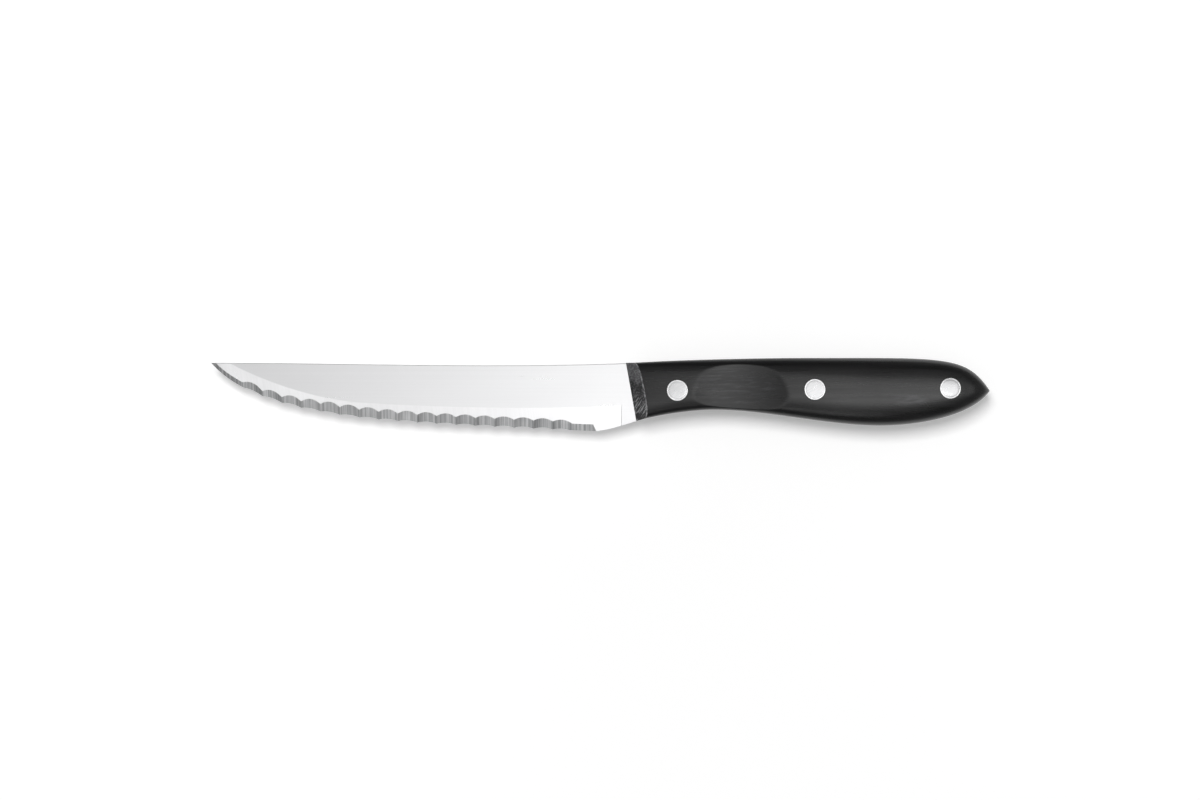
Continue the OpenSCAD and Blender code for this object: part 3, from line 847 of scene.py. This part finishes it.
# Crown of a scale over (station, turn), and its ground front face, with z up from the tang.
# A row starts where the crown meets the front plane, x = front line + z / (tan chamfer *
# cos slant), which is found by going half of the way there again and again.
def scalePatches():
    wall = np.linspace(0, 1, scaleShape["wallSteps"] + 1)[:-1]
    over = np.linspace(0, math.pi, scaleShape["steps"] + 1)
    turn = np.concatenate([0 * wall, over, 0 * wall + math.pi])
    lift = np.concatenate([wall, np.ones(len(over)), wall[::-1]])
    chamfer, slant = math.radians(scaleShape["chamfer"]), math.radians(knife["frontSlant"])
    lean = math.tan(chamfer) * math.cos(slant)
    start = np.full(turn.shape, frontX + scaleShape["firstGuess"])
    for _ in range(scaleShape["rounds"]):
        y, z = sectionPoint(start, turn, lift)
        start = 0.5 * start + 0.5 * (frontLineX(y) + z / lean)
    y, z = sectionPoint(start, turn, lift)
    start = frontLineX(y) + z / lean
    along = 1 - (1 - np.linspace(0, 1, scaleShape["stations"] + 1)) ** scaleShape["stationCrowding"]
    x = start + (buttX - start) * along[:, None]
    y, z = sectionPoint(x, turn, lift)
    z = softMinimum(z, scoopFloor(x, y), scaleShape["scoopSoftness"])
    z[:, [0, -1]] = 0
    crown = np.stack([x, y, z], axis=2)
    rim = crown[0]
    foot = np.stack([frontLineX(rim[:, 1]), rim[:, 1], np.zeros(len(rim))], axis=1)
    corner, second = scaleShape["corner"]
    down = np.concatenate([[0, corner], np.linspace(second, 1, scaleShape["frontRows"])])
    front = rim + (foot - rim) * down[:, None, None]
    rowSlots = [resinSlots["corner"]] + [resinSlots["cut"]] * scaleShape["frontRows"]
    return [(crown, resinSlots["crown"]), (front, np.repeat(rowSlots, len(rim) - 1))]


rivetShape = {
    "places": {"front": (0.14, 0.48), "middle": (0.516, 0.466), "rear": (0.887, 0.449)},
    "headRadius": 3.0,
    "tubeRadius": 2.0,
    "pinRadius": 1.3,
    "seat": 2.6,            # underside of the head above the tang
    "fit": 0.05,            # clearance round the rivet, and round its pin
    "pinFit": 0.02,
    "proud": 0.04,          # of the head over the crown
    "tubeGap": 1.0,         # short of the other head's underside
    "pinGap": 0.5,
    "edgeEase": 0.08,
    "ring": 0.38,           # paler ring round the face, a painted highlight, its width
    "groove": 0.02,         # fall of the face towards that ring
    "grooveRun": 0.5,       # over which the face falls
    "rows": (10, 6, 4, 5),  # on the face, its fall, the ring and the eased edge
    "plug": (-4.0, 12.0),   # lower and upper end of the cutters
    "plugDrop": 5.0,        # by which they go down to pass through the tang
    "turnSteps": 96,
    "crease": 30,
}
fullTurn = np.linspace(0, 2 * math.pi, rivetShape["turnSteps"] + 1)


# A rivet turned round its axis: x = centre + r * cos, y = centre + r * sin. The head's
# height is the crown's own, less the groove's fall ((r - face) / run + 1)^2 and the eased
# edge. Then rows go down the head's side and the tube or pin.
def rivetGrid(place, kind):
    centre = onHandle([place])[0]
    head, ease, seat = rivetShape["headRadius"], rivetShape["edgeEase"], rivetShape["seat"]
    face, run = head - rivetShape["ring"], rivetShape["grooveRun"]
    faceRows, fallRows, ringRows, easeRows = rivetShape["rows"]
    radius = np.concatenate([
        np.linspace(0, face - run, faceRows),
        np.linspace(face - 0.84 * run, face, fallRows),
        np.linspace(face + ease / 2, head - ease, ringRows),
        head - ease + ease * np.sin(np.linspace(0.3, math.pi / 2, easeRows)),
    ])
    across = np.clip((radius - head + ease) / ease, 0, 1)
    fall = np.where(radius <= face, np.clip((radius - face) / run + 1, 0, 1) ** 2, 0)
    drop = ease * (1 - np.sqrt(1 - across ** 2)) + rivetShape["groove"] * fall
    x = centre[0] + radius[:, None] * np.cos(fullTurn)
    y = centre[1] + radius[:, None] * np.sin(fullTurn)
    z = crownAt(x, y) + rivetShape["proud"] - drop[:, None]
    reach = knife["steel"] + seat
    if kind == "female":
        bore = rivetShape["pinRadius"] + rivetShape["pinFit"]
        end = rivetShape["tubeGap"] - reach
        tube = rivetShape["tubeRadius"]
        rows = [(head, seat), (tube, seat), (tube, end), (bore, end), (bore, seat), (0, seat)]
    else:
        end = rivetShape["pinGap"] - reach
        pin = rivetShape["pinRadius"]
        rows = [(head, seat), (pin, seat), (pin, end), (0, end)]
    r, h = np.array(rows).T
    x = np.vstack([x, centre[0] + r[:, None] * np.cos(fullTurn)])
    y = np.vstack([y, centre[1] + r[:, None] * np.sin(fullTurn)])
    z = np.vstack([z, np.broadcast_to(h[:, None], (len(r), len(fullTurn)))])
    onRing = (radius >= face) & (radius < head)  # material slot 1
    slots = np.concatenate([onRing.astype(int), np.zeros(len(r) - 1, int)])
    return np.stack([x, y, z], axis=2), np.repeat(slots, len(fullTurn) - 1)


# Stepped plugs, z up from the tang, that cut the rivets' holes: tube and head with the fit
# added, turned round each rivet's axis.
def seatCutters():
    fit, seat = rivetShape["fit"], rivetShape["seat"]
    tube, head = rivetShape["tubeRadius"] + fit, rivetShape["headRadius"] + fit
    low, high = rivetShape["plug"]
    r, h = np.array([(0, low), (tube, low), (tube, seat), (head, seat), (head, high), (0, high)]).T
    grids = []
    for place in rivetShape["places"].values():
        centre = onHandle([place])[0]
        x = centre[0] + r[:, None] * np.cos(fullTurn)
        y = centre[1] + r[:, None] * np.sin(fullTurn)
        grids.append((np.stack([x, y, np.broadcast_to(h[:, None], x.shape)], axis=2), 0))
    return grids


# z counted from the tang's upper face (side 1) or lower one (side -1) becomes the knife's
# own: middle + side * (half the steel + z).
def onFace(grid, side):
    placed = grid.copy()
    placed[..., 2] = middleZ + side * (halfSteel + grid[..., 2])
    return placed


# Takes the cutter out of the piece and keeps the result as its mesh.
def cutWith(piece, cutter, creaseAngle):
    modifier = piece.modifiers.new("holes", "BOOLEAN")
    modifier.operation = "DIFFERENCE"
    modifier.solver = "EXACT"
    modifier.object = cutter
    graph = bpy.context.evaluated_depsgraph_get()
    cutMesh = bpy.data.meshes.new_from_object(piece.evaluated_get(graph))
    piece.modifiers.clear()
    piece.data = cutMesh
    smoothShade(cutMesh, creaseAngle)
    bpy.data.objects.remove(cutter)
    print(f"{piece.name}: holes cut, {len(cutMesh.polygons)} faces")


# The piece moves with the body root and stands for that CAD node, which is hidden.
def finishPiece(piece, node):
    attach(piece, "root")
    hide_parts(node)


crease = bladeShape["crease"]
bladeGrid, bladeSlots = bladeRings()
ringSlots = np.tile(bladeSlots, (bladeGrid.shape[0] - 1, 1)).ravel()
steels = [polishedSteel, bevelSteel, fluteSteel, rimSteel]
blade = sewPatches("bladeSteel", [(bladeGrid, ringSlots)], crease, steels)
plugGrids = [(onFace(g, 1) - [0, 0, rivetShape["plugDrop"]], s) for g, s in seatCutters()]
cutWith(blade, sewPatches("tangPlugs", plugGrids, rivetShape["crease"], []), crease)
finishPiece(blade, "blade")

resins = [blackResin, rawResin, highlightCorner]
crease = scaleShape["crease"]
for side, label in ((1, "left"), (-1, "right")):
    patches = [(onFace(grid, side), slot) for grid, slot in scalePatches()]
    scale = sewPatches(f"{label}Scale", patches, crease, resins)
    plugGrids = [(onFace(g, side), s) for g, s in seatCutters()]
    cutWith(scale, sewPatches(f"{label}Plugs", plugGrids, rivetShape["crease"], []), crease)
    finishPiece(scale, f"{label}_scale")

# The rivets' faces, and their rings with the painted highlight
metals = [rivetMetal, rivetRingHighlightMetal]
for label, place in rivetShape["places"].items():
    for kind, side in (("female", 1), ("male", -1)):
        grid, slots = rivetGrid(place, kind)
        patches = [(onFace(grid, side), slots)]
        rivet = sewPatches(f"{label}Rivet.{kind}", patches, rivetShape["crease"], metals)
        finishPiece(rivet, f"{label}_rivet_{kind}")
